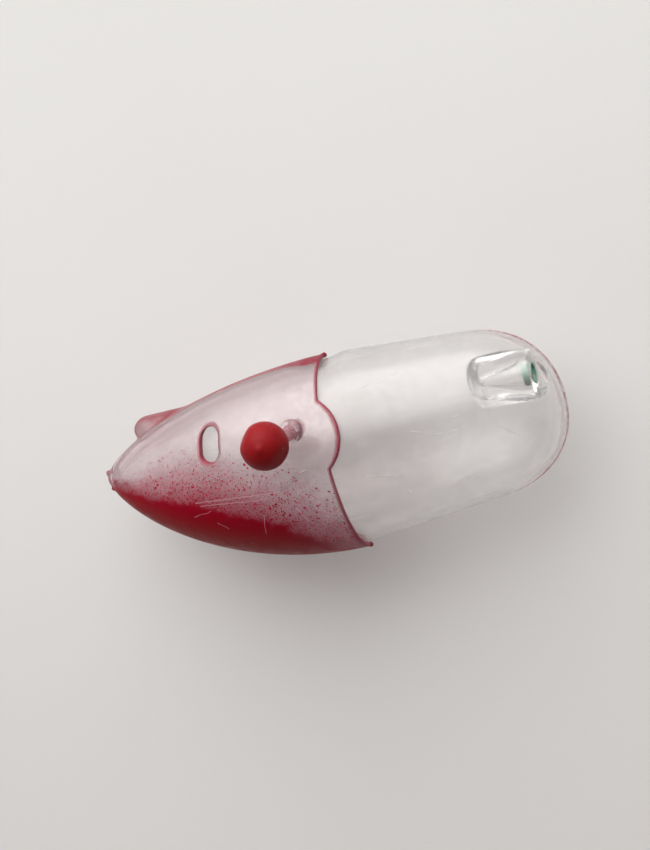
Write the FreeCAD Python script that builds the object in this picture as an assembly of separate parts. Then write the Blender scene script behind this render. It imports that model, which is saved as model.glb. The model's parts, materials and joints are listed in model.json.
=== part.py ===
import FreeCAD, Part
import math
import os

from FreeCAD import Vector

# Clear casting float with a painted half cap over one flank of its nose, in millimetres.
#
# While modelling, +X runs along the body towards the tail, +Y towards the back of
# the fish-like shape and +Z out of the flank that carries the plug.  X = 0 is the
# cap's rear rim.  Everything is moved at the end, so that the origin is the middle
# of the underside of the object as it lies on its plain flank.

# ---- driving dimensions: outer shape -------------------------------------------
NOSE_TIP_X, NOSE_TIP_Y = -42.6, 4.7      # the tip sits above the body's axis
NOSE_ROUND_BACK, NOSE_ROUND_BELLY = 0.66, 0.69   # 0.5 is an ellipse, more is sharper
RIM_HALF_HEIGHT = 16.85                  # outside of the cap at its rim
AXIS_Y = 0.15                            # middle of the rim
FLANK_RATIO = 0.86                       # side-to-side width over height

BODY_TAPER = 0.092                       # half height lost per millimetre of body
BACK_TAPER, BACK_SWELL = 0.077, 0.85     # the back falls less, and swells behind the rim
TAIL_X = 38.9                            # tail end of the clear shell
TAIL_ROUND_X = 24.0                      # where the tail starts to round off
TAIL_ROUND_POWER = 2.3                   # 2 is an ellipse, more is squarer

# ---- driving dimensions: walls and joints --------------------------------------
CAP_WALL_NOSE, CAP_WALL_RIM = 1.6, 0.75
CAP_GAP = 0.10                           # air between the cap and the shell in it
CAP_EDGE_Z = -0.8                        # the cap wraps this far past the middle plane
SHELL_WALL = 1.3                         # both clear halves, welded at Z = 0

LOBE_X, LOBE_Y, LOBE_R = -4.3, 4.1, 7.25   # round tab of the rim round the plug
LOBE_END_X = 3.4                         # the cap's walls are built this far back
BUILD_REACH = 60.0                       # half size of the boxes that trim the skins

SLOT_X, SLOT_Y = -20.6, 6.7
SLOT_WIDTH, SLOT_LENGTH = 3.5, 5.5       # along the body, across it
SLOT_AXIS = (-0.26, -0.16, 0.95)         # way out of the slot
SLOT_DEPTH = 4.0                         # the cutter's reach on each side of the skin

GUIDE_X, GUIDE_Y, GUIDE_Z = -36.3, 11.4, -1.0   # blunt front end of the boss on the nose
GUIDE_R, GUIDE_LENGTH, GUIDE_ROUND = 2.35, 14.0, 1.5

# ---- driving dimensions: plug ---------------------------------------------------
PLUG_X, PLUG_Y = -5.3, 5.9               # its axis meets the cap's surface here
PLUG_LEAN_NOSE, PLUG_LEAN_BELLY = 13.0, 5.0   # degrees away from +Z
STEM_R, STEM_FIT = 1.25, 0.04            # radial clearance in both walls
STEM_INSIDE = 4.2                        # length below the cap's surface
STEM_CHAMFER = 0.35
BALL_HEIGHT, BALL_R = 10.2, 4.15         # centre above the cap's surface
BALL_BORE = 5.2                          # how far the stem enters the ball
COLLAR_R, COLLAR_HEIGHT = 2.05, 0.75     # raised ring round the stem on the cap
COLLAR_ROOT = -1.5                       # it starts inside the cap's wall
HOLE_TOP, CAP_HOLE_BOTTOM, SHELL_HOLE_BOTTOM = 3.0, -4.0, -8.0

# ---- driving dimensions: tail socket --------------------------------------------
SOCKET_Y, SOCKET_Z, SOCKET_R = 5.85, 5.8, 4.1   # a tube through the plug side's wall
SOCKET_BOTTOM_X, SOCKET_MOUTH_X = 25.6, 36.25
SOCKET_ROUND = 0.9
RECESS_R = 2.7                           # clears the tail in front of the mouth
BORE_BOTTOM_X, BORE_BOTTOM_R, BORE_MOUTH_R = 26.9, 0.95, 1.85
FERRULE_LENGTH, FERRULE_BORE_R, FERRULE_R = 1.6, 1.5, 1.85

SIZE_DEVIATION = 0.01                    # of the mesh that the overall size is read from
SEARCH_STEPS = 44                        # halvings when an outline is solved for x
SLOPE_STEP = 0.004
NOSE_SECTIONS, TAIL_SECTIONS = 9, 9      # ellipses that each skin is lofted through
SECTION_CROWDING = 1.8                   # more is closer together at the ends
NOSE_LOFT_END, TAIL_LOFT_START = -2.0, 6.0

# ---- outlines -------------------------------------------------------------------


def nose_rise(x, sharpness):
    """Share of its full height that the nose has reached at x."""
    left = min(max(x / NOSE_TIP_X, 0), 1)
    return (1 - left**2) ** sharpness


def cap_back(x):
    """Height of the back above the nose tip's level."""
    return (AXIS_Y + RIM_HALF_HEIGHT - NOSE_TIP_Y) * nose_rise(x, NOSE_ROUND_BACK)


def cap_belly(x):
    """Depth of the belly below the nose tip's level."""
    return (NOSE_TIP_Y + RIM_HALF_HEIGHT - AXIS_Y) * nose_rise(x, NOSE_ROUND_BELLY)


def cap_flank(x):
    return FLANK_RATIO * (cap_back(x) + cap_belly(x)) / 2


def tail_round(x):
    """Share of its height that the tail still has at x."""
    reach = TAIL_X + CAP_WALL_RIM + CAP_GAP - TAIL_ROUND_X
    along = min(max((x - TAIL_ROUND_X) / reach, 0), 1)
    return (1 - along**TAIL_ROUND_POWER) ** (1 / TAIL_ROUND_POWER)


def tail_belly(x):
    """Depth of the tail below its axis, drawn as if the cap's skin went on to the tail end."""
    return (RIM_HALF_HEIGHT - BODY_TAPER * x) * tail_round(x)


def tail_back(x):
    """Height of the tail above its axis: it swells behind the rim until it is flush with the cap."""
    along = min(max(x / LOBE_END_X, 0), 1)
    swell = BACK_SWELL * along**2 * (3 - 2 * along)
    return (RIM_HALF_HEIGHT + swell - BACK_TAPER * x) * tail_round(x)


def tail_flank(x):
    return FLANK_RATIO * tail_belly(x)


def inset(height, x, depth, low, high):
    """Height of a line that runs depth inside the outline, measured square to it."""
    first, last = low, high
    for _ in range(SEARCH_STEPS):
        middle = (low + high) / 2
        back = max(middle - SLOPE_STEP, first)
        ahead = min(middle + SLOPE_STEP, last)
        slope = (height(ahead) - height(back)) / (ahead - back)
        across = math.hypot(1, slope)
        if middle + depth * slope / across < x:
            low = middle
        else:
            high = middle
    return height(middle) - depth / across


# ---- nested skins ----------------------------------------------------------------


def cap_wall(x):
    """The cap's wall thins evenly from its nose to its rim."""
    along = min(max((x - NOSE_TIP_X) / -NOSE_TIP_X, 0), 1)
    return CAP_WALL_NOSE + (CAP_WALL_RIM - CAP_WALL_NOSE) * along


def cap_outside(x):
    return 0.0


def shell_outside(x):
    return cap_wall(x) + CAP_GAP


def shell_inside(x):
    return cap_wall(x) + CAP_GAP + SHELL_WALL


def section(x, depth):
    """Closed ellipse at x, with its outline depth inside the outermost skin."""
    if x < 0:
        ends = (NOSE_TIP_X, LOBE_END_X)
        back = NOSE_TIP_Y + inset(cap_back, x, depth, *ends)
        belly = NOSE_TIP_Y - inset(cap_belly, x, depth, *ends)
        flank = inset(cap_flank, x, depth, *ends)
    else:
        ends = (-LOBE_END_X, TAIL_X + CAP_WALL_RIM + CAP_GAP)
        back = AXIS_Y + inset(tail_back, x, depth, *ends)
        belly = AXIS_Y - inset(tail_belly, x, depth, *ends)
        flank = inset(tail_flank, x, depth, *ends)
    middle = Vector(x, (back + belly) / 2, 0)
    ellipse = Part.Ellipse(Vector(x, back, 0), middle + Vector(0, 0, flank), middle)
    return Part.Wire(ellipse.toShape())


def skin(depth, tail_x=None):
    """Solid inside the skin at depth(x), from its own nose tip to tail_x or the end of the lobe."""
    tip_x = NOSE_TIP_X + depth(NOSE_TIP_X)
    stations = []
    for k in range(1, NOSE_SECTIONS + 1):
        stations.append(tip_x + (NOSE_LOFT_END - tip_x) * (k / NOSE_SECTIONS) ** SECTION_CROWDING)
    stations += [LOBE_END_X / 2, LOBE_END_X]
    if tail_x is not None:
        for k in range(TAIL_SECTIONS):
            left = (1 - k / TAIL_SECTIONS) ** SECTION_CROWDING
            stations.append(tail_x - (tail_x - TAIL_LOFT_START) * left)
    profiles = [Part.Vertex(tip_x, NOSE_TIP_Y, 0)] + [section(x, depth(x)) for x in stations]
    if tail_x is not None:
        profiles.append(Part.Vertex(tail_x, AXIS_Y, 0))
    return Part.makeLoft(profiles, True, False)


def box(rear_x, low_z, high_z):
    """Everything in front of rear_x and between low_z and high_z."""
    corner = Vector(-BUILD_REACH, -BUILD_REACH, low_z)
    return Part.makeBox(rear_x + BUILD_REACH, 2 * BUILD_REACH, high_z - low_z, corner)


# ---- plug frame --------------------------------------------------------------------


def flank_z(x, y):
    """Z of the cap's outer surface above (x, y)."""
    back, belly = NOSE_TIP_Y + cap_back(x), NOSE_TIP_Y - cap_belly(x)
    half, middle = (back - belly) / 2, (back + belly) / 2
    return cap_flank(x) * math.sqrt(1 - ((y - middle) / half) ** 2)


PLUG_AXIS = Vector(
    -math.tan(math.radians(PLUG_LEAN_NOSE)), -math.tan(math.radians(PLUG_LEAN_BELLY)), 1
).normalize()
PLUG_FOOT = Vector(PLUG_X, PLUG_Y, flank_z(PLUG_X, PLUG_Y))


def plug_cylinder(radius, start, end):
    return Part.makeCylinder(radius, end - start, PLUG_FOOT + PLUG_AXIS * start, PLUG_AXIS)


def tail_cylinder(radius, start, end):
    return Part.makeCylinder(radius, end - start, tail_point(start), Vector(1, 0, 0))


def tail_point(x):
    return Vector(x, SOCKET_Y, SOCKET_Z)


# ---- pieces -----------------------------------------------------------------------


def nose_cap():
    """Half shell over the plug's flank, with its edge just past the middle plane."""
    inside = skin(cap_wall)
    lobe = Part.makeCylinder(LOBE_R, BUILD_REACH, Vector(LOBE_X, LOBE_Y, 0), Vector(0, 0, 1))
    kept = box(0, CAP_EDGE_Z, BUILD_REACH).fuse(lobe)
    trimmed = skin(cap_outside).common(kept)
    guide_start = Vector(GUIDE_X, GUIDE_Y, GUIDE_Z)
    guide = Part.makeCylinder(GUIDE_R, GUIDE_LENGTH, guide_start, Vector(1, 0, 0))
    front = min(guide.Edges, key=lambda edge: edge.CenterOfMass.x)
    guide = guide.makeFillet(GUIDE_ROUND, [front])
    collar = plug_cylinder(COLLAR_R, COLLAR_ROOT, COLLAR_HEIGHT)
    solid = trimmed.fuse([guide, collar]).cut(inside)
    hole = plug_cylinder(STEM_R + STEM_FIT, CAP_HOLE_BOTTOM, HOLE_TOP)
    return solid.cut([slot_cutter(), hole])


def slot_cutter():
    """Round-ended bar through the near wall, long across the body."""
    way = Vector(*SLOT_AXIS).normalize()
    middle = Vector(SLOT_X, SLOT_Y, flank_z(SLOT_X, SLOT_Y))
    radius, half = SLOT_WIDTH / 2, (SLOT_LENGTH - SLOT_WIDTH) / 2
    long_way = Vector(0, 1, 0) - way * way.y
    long_way.normalize()
    side = long_way.cross(way)
    low = middle - way * SLOT_DEPTH
    turns = ((1, 1), (-1, 1), (-1, -1), (1, -1))
    corners = [low + long_way * half * a + side * radius * b for a, b in turns]
    slab = Part.Face(Part.makePolygon(corners + corners[:1])).extrude(way * 2 * SLOT_DEPTH)
    ends = []
    for end in (1, -1):
        centre = low + long_way * half * end
        ends.append(Part.makeCylinder(radius, 2 * SLOT_DEPTH, centre, way))
    return slab.fuse(ends)


def clear_shell():
    """The whole clear capsule, before it is divided at the weld."""
    outside = skin(shell_outside, TAIL_X)
    inside = skin(shell_inside, TAIL_X - SHELL_WALL)
    filled = socket_tube(BUILD_REACH).common(outside)
    hollow = outside.cut(inside).fuse([filled, socket_tube(SOCKET_MOUTH_X)])
    seat_start = SOCKET_MOUTH_X - FERRULE_LENGTH
    recess = tail_cylinder(RECESS_R, SOCKET_MOUTH_X, BUILD_REACH)
    bore_length = seat_start - BORE_BOTTOM_X
    bore = Part.makeCone(
        BORE_BOTTOM_R, BORE_MOUTH_R, bore_length, tail_point(BORE_BOTTOM_X), Vector(1, 0, 0)
    )
    seat = tail_cylinder(FERRULE_R, seat_start, SOCKET_MOUTH_X)
    filler = plug_cylinder(STEM_R + STEM_FIT, SHELL_HOLE_BOTTOM, HOLE_TOP)
    return hollow.cut([recess, bore, seat, filler])


def socket_tube(end):
    """The socket's outside, from its rounded blind end."""
    tube = tail_cylinder(SOCKET_R, SOCKET_BOTTOM_X, end)
    closed_end = min(tube.Edges, key=lambda edge: edge.CenterOfMass.x)
    return tube.makeFillet(SOCKET_ROUND, [closed_end])


def socket_ferrule():
    start = SOCKET_MOUTH_X - FERRULE_LENGTH
    ring = tail_cylinder(FERRULE_R, start, SOCKET_MOUTH_X)
    return ring.cut(tail_cylinder(FERRULE_BORE_R, start, SOCKET_MOUTH_X))


def plug_stem():
    stem = plug_cylinder(STEM_R, -STEM_INSIDE, BALL_HEIGHT - BALL_R + BALL_BORE)
    lower = min(stem.Edges, key=lambda edge: edge.CenterOfMass.dot(PLUG_AXIS))
    return stem.makeChamfer(STEM_CHAMFER, [lower])


def plug_ball():
    ball = Part.makeSphere(BALL_R, PLUG_FOOT + PLUG_AXIS * BALL_HEIGHT)
    return ball.cut(plug_cylinder(STEM_R, 0, BALL_HEIGHT - BALL_R + BALL_BORE))


def build():
    shell = clear_shell()
    pieces = {
        "nose_cap": nose_cap(),
        "plug_side_shell": shell.common(box(BUILD_REACH, 0, BUILD_REACH)),
        "plain_side_shell": shell.common(box(BUILD_REACH, -BUILD_REACH, 0)),
        "socket_ferrule": socket_ferrule(),
        "plug_stem": plug_stem(),
        "plug_ball": plug_ball(),
    }
    whole = FreeCAD.BoundBox()
    for point in Part.makeCompound(list(pieces.values())).tessellate(SIZE_DEVIATION)[0]:
        whole.add(point)
    shift = Vector(-whole.Center.x, -whole.Center.y, -whole.ZMin)
    os.makedirs("parts", exist_ok=True)
    for name, shape in pieces.items():
        shape = shape.Solids[0] if len(shape.Solids) == 1 else shape
        shape.translate(shift)
        shape.exportStep("parts/" + name + ".step")
        print(name, len(shape.Solids), shape.isValid(), round(shape.Volume, 1))
    mouth = tail_point(SOCKET_MOUTH_X) + shift
    sizes = Vector(whole.XLength, whole.YLength, whole.ZLength)
    report = {"size": sizes, "shift": shift, "plug foot": PLUG_FOOT + shift, "socket mouth": mouth}
    for name, place in report.items():
        print(name, [round(v, 3) for v in place])
    print("plug axis", [round(v, 5) for v in PLUG_AXIS])


build()
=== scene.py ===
import json
import math

import bpy
import numpy as np
from mathutils import Matrix, Vector


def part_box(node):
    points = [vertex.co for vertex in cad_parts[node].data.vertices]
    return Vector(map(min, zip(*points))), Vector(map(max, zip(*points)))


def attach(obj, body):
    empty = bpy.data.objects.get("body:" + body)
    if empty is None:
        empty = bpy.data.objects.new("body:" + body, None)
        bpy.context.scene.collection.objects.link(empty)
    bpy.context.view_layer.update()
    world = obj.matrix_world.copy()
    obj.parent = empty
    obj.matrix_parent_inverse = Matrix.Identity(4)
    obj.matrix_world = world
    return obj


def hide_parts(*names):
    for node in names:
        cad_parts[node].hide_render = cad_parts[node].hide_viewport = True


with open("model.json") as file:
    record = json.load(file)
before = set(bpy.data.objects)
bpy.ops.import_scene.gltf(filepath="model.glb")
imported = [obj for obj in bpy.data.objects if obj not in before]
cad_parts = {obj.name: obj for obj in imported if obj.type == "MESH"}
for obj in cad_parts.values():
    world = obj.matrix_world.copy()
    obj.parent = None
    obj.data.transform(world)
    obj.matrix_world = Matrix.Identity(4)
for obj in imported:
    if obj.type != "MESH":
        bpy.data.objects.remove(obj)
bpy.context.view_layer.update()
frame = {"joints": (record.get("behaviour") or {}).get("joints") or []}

# Clear casting float with a red-sprayed nose cap.  Shapes are worked out in millimetres
# in the float's own design axes: +X to the tail, +Y to the back, +Z out of the flank with
# the plug, X = 0 at the cap's rear rim.  place() moves them into the part's frame.

# ---- dimensions, as in the CAD ------------------------------------------------------------
NOSE_TIP_X, NOSE_TIP_Y = -42.6, 4.7
NOSE_ROUND_BACK, NOSE_ROUND_BELLY = 0.66, 0.69
RIM_HALF_HEIGHT, AXIS_Y = 16.85, 0.15
FLANK_RATIO = 0.86
BODY_TAPER, BACK_TAPER, BACK_SWELL = 0.092, 0.077, 0.85
TAIL_X, TAIL_ROUND_X, TAIL_ROUND_POWER = 38.9, 24.0, 2.3
CAP_WALL_NOSE, CAP_WALL_RIM, CAP_GAP, SHELL_WALL = 1.6, 0.75, 0.10, 1.3
CAP_EDGE_Z = -0.8
LOBE_X, LOBE_Y, LOBE_R, LOBE_END_X = -4.3, 4.1, 7.25, 3.4
SLOT_X, SLOT_Y, SLOT_WIDTH, SLOT_LENGTH = -20.6, 6.7, 3.5, 5.5
SLOT_AXIS = (-0.26, -0.16, 0.95)
GUIDE_X, GUIDE_Y, GUIDE_Z, GUIDE_R, GUIDE_LENGTH = -36.3, 11.4, -1.0, 2.35, 14.0
PLUG_X, PLUG_Y = -5.3, 5.9
STEM_R, STEM_FIT, STEM_INSIDE = 1.25, 0.04, 4.2
BALL_HEIGHT, BALL_R, BALL_BORE = 10.2, 4.15, 5.2
COLLAR_R, COLLAR_HEIGHT = 2.05, 0.75
SOCKET_Y, SOCKET_Z, SOCKET_R, SOCKET_ROUND = 5.85, 5.8, 4.1, 0.9
SOCKET_BOTTOM_X, SOCKET_MOUTH_X = 25.6, 36.25
RECESS_R = 2.7
BORE_BOTTOM_X, BORE_BOTTOM_R, BORE_MOUTH_R = 26.9, 0.95, 1.85
FERRULE_LENGTH, FERRULE_BORE_R, FERRULE_R = 1.6, 1.5, 1.85

# ---- finish of the visible meshes: how wide edges and corners are rounded -----------------
EDGE_ROUND, CORNER_ROUND, INNER_ROUND, FILLET = 0.35, 0.3, 0.2, 0.5
CAP_BORE_ROUND, SHELL_BORE_ROUND, BALL_BORE_ROUND = 0.12, 0.1, 0.15
GUIDE_TIP_ROUND = 3.2
SOCKET_END_ROUND, SOCKET_FILLET, SOCKET_MOUTH_ROUND = 2.6 * SOCKET_ROUND, 0.7, 0.25
STEM_END_ROUND = 0.6
FERRULE_ROUND = 0.12

# how far in the slot is cut from the cap's skin, and the plug's holes from the plug's foot
SLOT_DEPTH, CAP_BORE_DEPTH, SHELL_BORE_DEPTH = 4, 4, 8

# the stem's upper end, from the plug's foot
STEM_TOP = BALL_HEIGHT - BALL_R + BALL_BORE

MM = 0.001

# ---- where the design axes lie in the part's frame ----------------------------------------
PLUG_AXIS = np.array(frame["joints"][0]["axis"], float)
ball_middle = sum((np.array(corner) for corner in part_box("plug_ball")), np.zeros(3)) / 2 / MM
SHIFT = np.array(
    (
        ball_middle[0] - PLUG_X - PLUG_AXIS[0] * BALL_HEIGHT,
        ball_middle[1] - PLUG_Y - PLUG_AXIS[1] * BALL_HEIGHT,
        (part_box("plain_side_shell")[0].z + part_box("plug_side_shell")[1].z) / 2 / MM,
    )
)
BALL_CENTRE = ball_middle - SHIFT
PLUG_FOOT = BALL_CENTRE - PLUG_AXIS * BALL_HEIGHT


def place(points):
    return (np.asarray(points) + SHIFT) * MM


# ---- outlines of the nested skins ---------------------------------------------------------

OUTLINE_STEP, OUTLINE_SAMPLES = 0.02, 6001
# beyond this X the distance comes from the squares of the outline
TAIL_FIELD_X = 22.0
# the outline is smoothed over so many steps, within a stretch about the rim
SMOOTH_SAMPLES, RIM_BLEND_X, RIM_BLEND = 250, 0.5, 2.5
# the least half height at which the sections' proportions are still read off
THINNEST = 0.3


def nose_rise(x, sharpness):
    return np.clip(1 - (x / NOSE_TIP_X) ** 2, 0, 1) ** sharpness


def tail_round(x):
    reach = TAIL_X + CAP_WALL_RIM + CAP_GAP - TAIL_ROUND_X
    along = np.clip((x - TAIL_ROUND_X) / reach, 0, 1)
    return (1 - along**TAIL_ROUND_POWER) ** (1 / TAIL_ROUND_POWER)


def tail_belly(x):
    return (RIM_HALF_HEIGHT - BODY_TAPER * x) * tail_round(x)


def tail_back(x):
    along = np.clip(x / LOBE_END_X, 0, 1)
    swell = BACK_SWELL * along**2 * (3 - 2 * along)
    return (RIM_HALF_HEIGHT + swell - BACK_TAPER * x) * tail_round(x)


def cap_wall(x):
    return np.interp(x, (NOSE_TIP_X, 0), (CAP_WALL_NOSE, CAP_WALL_RIM))


class Skin:
    """One closed surface of the float: elliptical sections under an outline, inset by a depth."""

    def __init__(self, extra, follows_wall=True):
        first, last = NOSE_TIP_X, TAIL_X + CAP_WALL_RIM + CAP_GAP
        # sample points crowd towards both ends, where the outline turns fastest
        way = np.linspace(0, math.pi, OUTLINE_SAMPLES)
        x = (first + last) / 2 - (last - first) / 2 * np.cos(way)
        nose = x < 0
        back = np.where(
            nose,
            (AXIS_Y + RIM_HALF_HEIGHT - NOSE_TIP_Y) * nose_rise(x, NOSE_ROUND_BACK) + NOSE_TIP_Y,
            AXIS_Y + tail_back(x),
        )
        belly = np.where(
            nose,
            (NOSE_TIP_Y + RIM_HALF_HEIGHT - AXIS_Y) * nose_rise(x, NOSE_ROUND_BELLY) - NOSE_TIP_Y,
            tail_belly(x) - AXIS_Y,
        )
        flank = FLANK_RATIO * np.where(nose, (back + belly) / 2, tail_belly(x))
        depth = extra + (cap_wall(x) if follows_wall else 0 * x)
        self.x = np.arange(first, last, OUTLINE_STEP)
        back, belly, flank = (self.inset(x, line, depth) for line in (back, belly, flank))
        self.start, self.end = first + depth[0], last - depth[-1]
        self.middle = (back - belly) / 2
        self.half = np.maximum((back + belly) / 2, 1e-3)
        self.flank = np.maximum(flank, 1e-3)
        self.lines = (self.middle, self.half, self.flank)
        self.slopes = [np.gradient(line, OUTLINE_STEP) for line in self.lines]
        thick = self.half > THINNEST
        square = np.maximum((back + belly) / 2, 0) ** 2
        ratio = np.interp(self.x, self.x[thick], (self.half / self.flank)[thick])
        self.tail_lines = [square, ratio]
        self.tail_lines += [np.gradient(line, OUTLINE_STEP) for line in (square, ratio)]

    def inset(self, x, line, depth):
        """An outline moved inwards by depth, with its turn at the rim smoothed."""
        slope = np.gradient(line, x)
        across = np.hypot(1, slope)
        inner_x, inner_line = x + depth * slope / across, line - depth / across
        order = np.maximum.accumulate(inner_x)
        keep = np.concatenate(([True], inner_x[1:] > order[:-1]))
        result = np.interp(self.x, inner_x[keep], inner_line[keep])
        weights = np.hanning(SMOOTH_SAMPLES + 1)
        padded = np.pad(result, SMOOTH_SAMPLES, "edge")
        smooth = np.convolve(padded, weights / weights.sum(), "same")[SMOOTH_SAMPLES:-SMOOTH_SAMPLES]
        near_rim = np.clip(1 - np.abs(self.x - RIM_BLEND_X) / (2 * RIM_BLEND), 0, 1)
        near_rim = near_rim**2 * (3 - 2 * near_rim)
        return result + (smooth - result) * np.minimum(near_rim * 2, 1)

    def field(self, x, y, z):
        """Distance outside the skin, negative inside, true to first order near it."""
        at = np.clip(x, self.start + 0.02, self.end - 0.01)
        middle, half, flank = (np.interp(at, self.x, line) for line in self.lines)
        d_middle, d_half, d_flank = (np.interp(at, self.x, line) for line in self.slopes)
        up, out = (y - middle) / half, z / flank
        ratio = np.sqrt(up**2 + out**2) + 1e-6
        slope_y, slope_z = up / half / ratio, out / flank / ratio
        slope_x = -(up * d_middle / half + up**2 * d_half / half + out**2 * d_flank / flank) / ratio
        distance = (ratio - 1) / np.sqrt(slope_x**2 + slope_y**2 + slope_z**2 + 1e-9)
        # the blunt tail end is worked out from squares, which stay smooth on the axis
        square, squash, d_square, d_squash = (np.interp(at, self.x, line) for line in self.tail_lines)
        rise, reach = y - middle, z * squash
        slope_x = 2 * reach * z * d_squash - 2 * rise * d_middle - d_square
        steep = np.sqrt(slope_x**2 + 4 * rise**2 + (2 * reach * squash) ** 2 + 1e-9)
        distance = np.where(at > TAIL_FIELD_X, (rise**2 + reach**2 - square) / steep, distance)
        beyond = np.abs(x - at)
        return np.where(beyond > 0, np.hypot(np.maximum(distance, 0), beyond), distance)


CAP_OUTSIDE = Skin(0, False)
CAP_INSIDE = Skin(0)
SHELL_OUTSIDE = Skin(CAP_GAP)
SHELL_INSIDE = Skin(CAP_GAP + SHELL_WALL)

# ---- distance fields -------------------------------------------------------------------------


def join(a, b, blend):
    """Union of two solids, with a fillet about blend wide."""
    near = np.maximum(blend - np.abs(a - b), 0) / blend
    return np.minimum(a, b) - near**2 * blend / 4


def cross(a, b, blend):
    """What two solids share, with its edge rounded over about blend."""
    return -join(-a, -b, blend)


def cut(a, b, blend):
    """The first solid without the second, with the new edge rounded over about blend."""
    return -join(-a, b, blend)


def along_plug(x, y, z):
    """Height above the plug's foot along its axis, and distance from that axis."""
    dx, dy, dz = x - PLUG_FOOT[0], y - PLUG_FOOT[1], z - PLUG_FOOT[2]
    height = dx * PLUG_AXIS[0] + dy * PLUG_AXIS[1] + dz * PLUG_AXIS[2]
    square = dx**2 + dy**2 + dz**2 - height**2
    return height, np.sqrt(np.maximum(square, 0))


def blob(x, y, z, centre, radius):
    return np.sqrt((x - centre[0]) ** 2 + (y - centre[1]) ** 2 + (z - centre[2]) ** 2) - radius


def slot_field(x, y, z):
    """Round-ended bar along SLOT_AXIS, long across the body."""
    way = Vector(SLOT_AXIS).normalized()
    long_way = (Vector((0, 1, 0)) - way * way.y).normalized()
    side = long_way.cross(way)
    dx, dy, dz = x - SLOT_X, y - SLOT_Y, z - flank_z(SLOT_X, SLOT_Y)
    a = dx * long_way.x + dy * long_way.y + dz * long_way.z
    b = dx * side.x + dy * side.y + dz * side.z
    a = np.maximum(np.abs(a) - (SLOT_LENGTH - SLOT_WIDTH) / 2, 0)
    bar = np.hypot(a, b) - SLOT_WIDTH / 2
    return np.maximum(bar, -SLOT_DEPTH - (dx * way.x + dy * way.y + dz * way.z))


def flank_z(x, y):
    """Z of the cap's outer skin above (x, y)."""
    middle, half, flank = (np.interp(x, CAP_OUTSIDE.x, line) for line in CAP_OUTSIDE.lines)
    return float(flank * np.sqrt(1 - ((y - middle) / half) ** 2))


def rim_field(x, y, z):
    """Inside is what lies in front of the cap's rear rim, with the lobe on the plug's flank."""
    lobe = np.maximum(np.hypot(x - LOBE_X, y - LOBE_Y) - LOBE_R, -z)
    return join(x, lobe, CORNER_ROUND)


# moulding flash on the cap, as centre and radius: two nubs on the nose, one at each end of the rim
NUBS = (
    ((-42.2, 5.7, 0.0), 0.38),
    ((-42.0, 2.9, -0.2), 0.36),
    ((0.05, 16.7, 0.0), 0.45),
    ((-0.05, -16.45, 0.0), 0.35),
)


def cap_field(x, y, z):
    outside = CAP_OUTSIDE.field(x, y, z)
    kept = cross(rim_field(x, y, z), CAP_EDGE_Z - z, CORNER_ROUND)
    solid = cross(outside, kept, EDGE_ROUND)
    guide_r = np.hypot(y - GUIDE_Y, z - GUIDE_Z)
    guide = cross(guide_r - GUIDE_R, GUIDE_X - x, GUIDE_TIP_ROUND)
    guide = np.maximum(guide, x - GUIDE_X - GUIDE_LENGTH)
    solid = join(solid, guide, FILLET)
    height, away = along_plug(x, y, z)
    collar = cross(away - COLLAR_R, np.abs(height) - COLLAR_HEIGHT, EDGE_ROUND)
    solid = join(solid, collar, FILLET)
    for centre, radius in NUBS:
        solid = join(solid, blob(x, y, z, centre, radius), FILLET)
    solid = cut(solid, CAP_INSIDE.field(x, y, z), INNER_ROUND)
    solid = cut(solid, slot_field(x, y, z), EDGE_ROUND)
    bore = np.maximum(away - STEM_R - STEM_FIT, -CAP_BORE_DEPTH - height)
    return cut(solid, bore, CAP_BORE_ROUND)


def shell_field(x, y, z):
    outside, inside = SHELL_OUTSIDE.field(x, y, z), SHELL_INSIDE.field(x, y, z)
    away = np.hypot(y - SOCKET_Y, z - SOCKET_Z)
    filling = cross(away - SOCKET_R, SOCKET_BOTTOM_X - x, SOCKET_END_ROUND)
    wall = np.maximum(outside, join(-inside, filling, SOCKET_FILLET))
    tube = cross(filling, x - SOCKET_MOUTH_X, SOCKET_MOUTH_ROUND)
    solid = join(wall, tube, FILLET)
    recess = np.maximum(away - RECESS_R, SOCKET_MOUTH_X - x)
    solid = cut(solid, recess, CORNER_ROUND)
    cone_end = SOCKET_MOUTH_X - FERRULE_LENGTH
    widening = (BORE_MOUTH_R - BORE_BOTTOM_R) / (cone_end - BORE_BOTTOM_X)
    bore = np.maximum(away - BORE_BOTTOM_R - widening * (x - BORE_BOTTOM_X), BORE_BOTTOM_X - x)
    bore = np.where(x > cone_end, away - FERRULE_R, bore)
    solid = cut(solid, bore, INNER_ROUND)
    height, around = along_plug(x, y, z)
    hole = np.maximum(around - STEM_R - STEM_FIT, -SHELL_BORE_DEPTH - height)
    return cut(solid, hole, SHELL_BORE_ROUND)


# the gate's nub on top of the ball, and the mould's flats, as direction and share of the radius
NUB_AXIS = Vector((0.02, -0.07, 1.0)).normalized()
NUB_R, NUB_SINK = 0.85, 0.72
FLATS = (((-0.75, 0.6, 0.28), 0.93), ((0.72, -0.62, 0.3), 0.94), ((-0.1, 0.75, -0.65), 0.95))


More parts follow.
